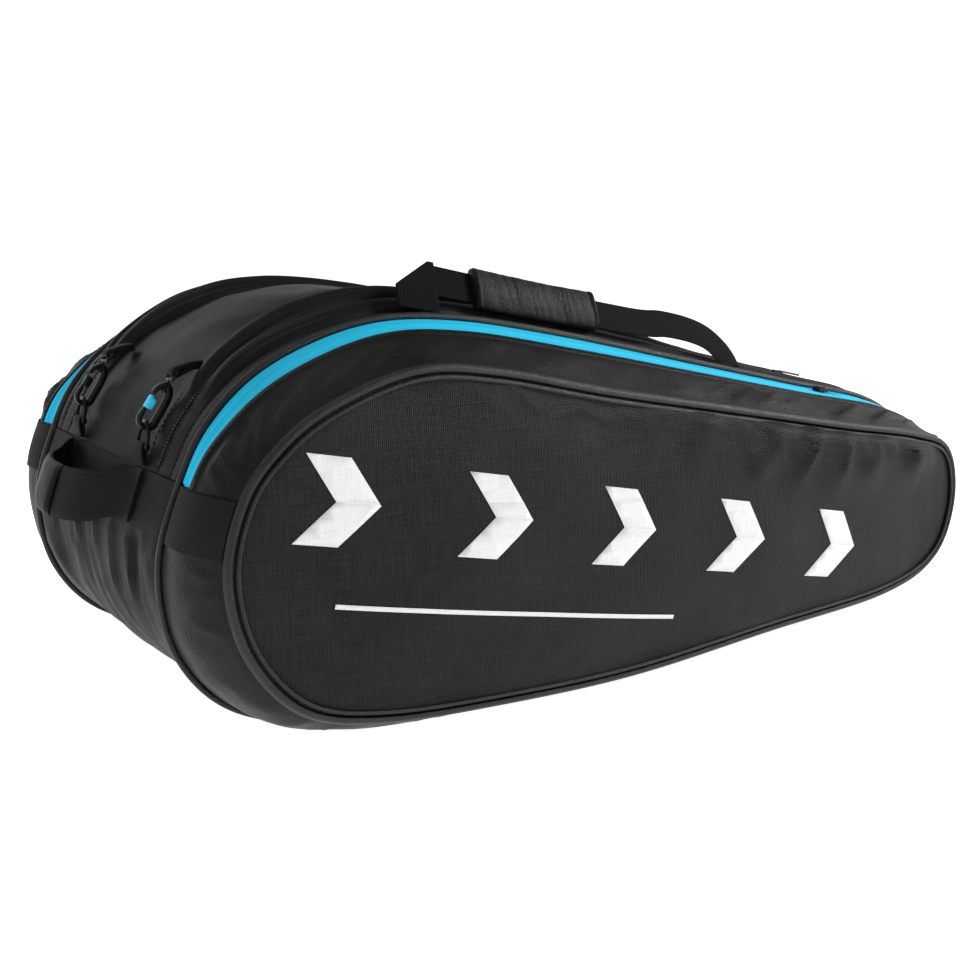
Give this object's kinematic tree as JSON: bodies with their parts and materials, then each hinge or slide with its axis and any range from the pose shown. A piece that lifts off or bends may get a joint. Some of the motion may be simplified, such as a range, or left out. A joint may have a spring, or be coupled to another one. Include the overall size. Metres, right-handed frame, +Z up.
{
  "type": "racket tournament bag",
  "caption": "Wide tapered racket bag: main compartments and zipped side pockets, opening lids, carry handles, snap hooks, straps.",
  "frame": {"origin": "on the floor plane under the middle of the bag's length, in its middle plane", "axes": "+X along the bag to the small end, +Y across it to the strap side, +Z up; the printed side is at -Y"},
  "size_m": [0.7928, 0.467, 0.3188],
  "materials": {
    "panel_cloth": "coated woven cloth, soft sheen",
    "gusset_cloth": "coated synthetic leather, satin",
    "lining": "matte woven lining",
    "webbing": "ribbed woven webbing",
    "blue_tape": "woven zip tape, matte",
    "blue_tape_hard": "moulded, semi-gloss",
    "black_tape": "woven zip tape, matte",
    "hook_black": "moulded, glossy",
    "slider_black": "black enamel, semi-gloss"
  },
  "bodies": {
    "bag": {"main_gusset_lower": "gusset_cloth", "centre_strip": "gusset_cloth", "centre_divider": "lining", "band_big_end": "webbing", "band_small_end": "webbing", "grab_handle": "webbing", "front_divider_lower": "lining", "front_pocket_gusset_lower": "gusset_cloth", "front_panel_lower": "panel_cloth", "front_piping_lower": "gusset_cloth", "front_main_zip_inner": "black_tape", "front_ring_tab": "webbing", "front_hook_loop": "webbing", "front_swivel_eye": "hook_black", "rear_divider_lower": "lining", "rear_pocket_gusset_lower": "gusset_cloth", "rear_panel_lower": "panel_cloth", "rear_piping_lower": "gusset_cloth", "rear_main_zip_inner": "black_tape", "rear_ring_tab": "webbing", "rear_hook_loop": "webbing", "rear_swivel_eye": "hook_black", "lower_strap_pad": "gusset_cloth", "lower_ladder_lock": "hook_black", "lower_strap_web": "webbing"},
    "front_mouth": {"front_main_strip_upper": "gusset_cloth", "front_divider_upper": "lining", "front_pocket_zip_inner": "blue_tape", "front_main_zip_outer": "black_tape"},
    "front_lid": {"front_panel_upper": "panel_cloth", "front_piping_upper": "gusset_cloth", "front_pocket_gusset_upper": "gusset_cloth", "front_pocket_zip_outer": "blue_tape"},
    "front_carry": {"front_handle": "webbing", "grip_wrap": "gusset_cloth"},
    "front_main_pull": {"front_main_slider": "slider_black"},
    "front_pocket_pull": {"front_pocket_slider": "slider_black"},
    "front_snap": {"front_hook": "hook_black"},
    "front_gate": {"front_hook_gate": "blue_tape_hard"},
    "front_link": {"front_ring": "hook_black"},
    "rear_mouth": {"rear_main_strip_upper": "gusset_cloth", "rear_divider_upper": "lining", "rear_pocket_zip_inner": "blue_tape", "rear_main_zip_outer": "black_tape"},
    "rear_lid": {"rear_panel_upper": "panel_cloth", "rear_piping_upper": "gusset_cloth", "rear_pocket_gusset_upper": "gusset_cloth", "rear_pocket_zip_outer": "blue_tape", "upper_strap_pad": "gusset_cloth", "upper_ladder_lock": "hook_black", "upper_strap_web": "webbing"},
    "rear_carry": {"rear_handle": "webbing"},
    "rear_main_pull": {"rear_main_slider": "slider_black"},
    "rear_pocket_pull": {"rear_pocket_slider": "slider_black"},
    "rear_snap": {"rear_hook": "hook_black"},
    "rear_gate": {"rear_hook_gate": "hook_black"},
    "rear_link": {"rear_ring": "hook_black"}
  },
  "joints": [
    {"name": "front_mouth_open", "type": "hinge", "parent": "bag", "child": "front_mouth", "pos_m": [0, -0.217, 0.1405], "axis": [0.9923, 0, -0.124], "range_deg": [0, 30]},
    {"name": "front_lid_open", "type": "hinge", "parent": "front_mouth", "child": "front_lid", "pos_m": [0, -0.217, 0.1405], "axis": [0.9923, 0, -0.124], "range_deg": [0, 80]},
    {"name": "front_handle_swing", "type": "hinge", "parent": "front_mouth", "child": "front_carry", "pos_m": [-0.17331, -0.1258, 0.28582], "axis": [0.9815, 0, -0.1916], "range_deg": [0, 85]},
    {"name": "front_main_zip_run", "type": "slide", "parent": "bag", "child": "front_main_pull", "axis": [-0.977, 0, 0.2134], "range_m": [0, 0.15]},
    {"name": "front_pocket_zip_run", "type": "slide", "parent": "front_mouth", "child": "front_pocket_pull", "axis": [-0.977, 0, 0.2134], "range_m": [0, 0.06]},
    {"name": "front_hook_swivel", "type": "hinge", "parent": "bag", "child": "front_snap", "pos_m": [-0.35239, -0.0725, 0.22582], "axis": [0.5659, 0, 0.8245], "range_deg": [-15, 15]},
    {"name": "front_gate_open", "type": "hinge", "parent": "front_snap", "child": "front_gate", "pos_m": [-0.35448, -0.0725, 0.2355], "axis": [0, 1, 0], "range_deg": [0, 19], "stiffness_Nm_per_rad": 0.02, "springref_deg": -11.46},
    {"name": "front_ring_swing", "type": "hinge", "parent": "bag", "child": "front_link", "pos_m": [-0.36264, -0.0725, 0.19986], "axis": [0, 1, 0], "range_deg": [0, 5]},
    {"name": "rear_mouth_open", "type": "hinge", "parent": "bag", "child": "rear_mouth", "pos_m": [0, 0.217, 0.1405], "axis": [-0.9923, 0, 0.124], "range_deg": [0, 25]},
    {"name": "rear_lid_open", "type": "hinge", "parent": "rear_mouth", "child": "rear_lid", "pos_m": [0, 0.217, 0.1405], "axis": [-0.9923, 0, 0.124], "range_deg": [0, 41]},
    {"name": "rear_handle_swing", "type": "hinge", "parent": "rear_mouth", "child": "rear_carry", "pos_m": [-0.17331, 0.1258, 0.28582], "axis": [0.9815, 0, -0.1916], "range_deg": [0, 100]},
    {"name": "rear_main_zip_run", "type": "slide", "parent": "bag", "child": "rear_main_pull", "axis": [-0.977, 0, 0.2134], "range_m": [0, 0.15]},
    {"name": "rear_pocket_zip_run", "type": "slide", "parent": "rear_mouth", "child": "rear_pocket_pull", "axis": [-0.977, 0, 0.2134], "range_m": [0, 0.06]},
    {"name": "rear_hook_swivel", "type": "hinge", "parent": "bag", "child": "rear_snap", "pos_m": [-0.35273, 0.062, 0.22589], "axis": [0.5608, 0, 0.828], "range_deg": [-15, 15]},
    {"name": "rear_gate_open", "type": "hinge", "parent": "rear_snap", "child": "rear_gate", "pos_m": [-0.35488, 0.062, 0.23556], "axis": [0, 1, 0], "range_deg": [0, 19], "stiffness_Nm_per_rad": 0.02, "springref_deg": -11.46},
    {"name": "rear_ring_swing", "type": "hinge", "parent": "bag", "child": "rear_link", "pos_m": [-0.36282, 0.062, 0.19987], "axis": [0, 1, 0], "range_deg": [0, 5]}
  ]
}
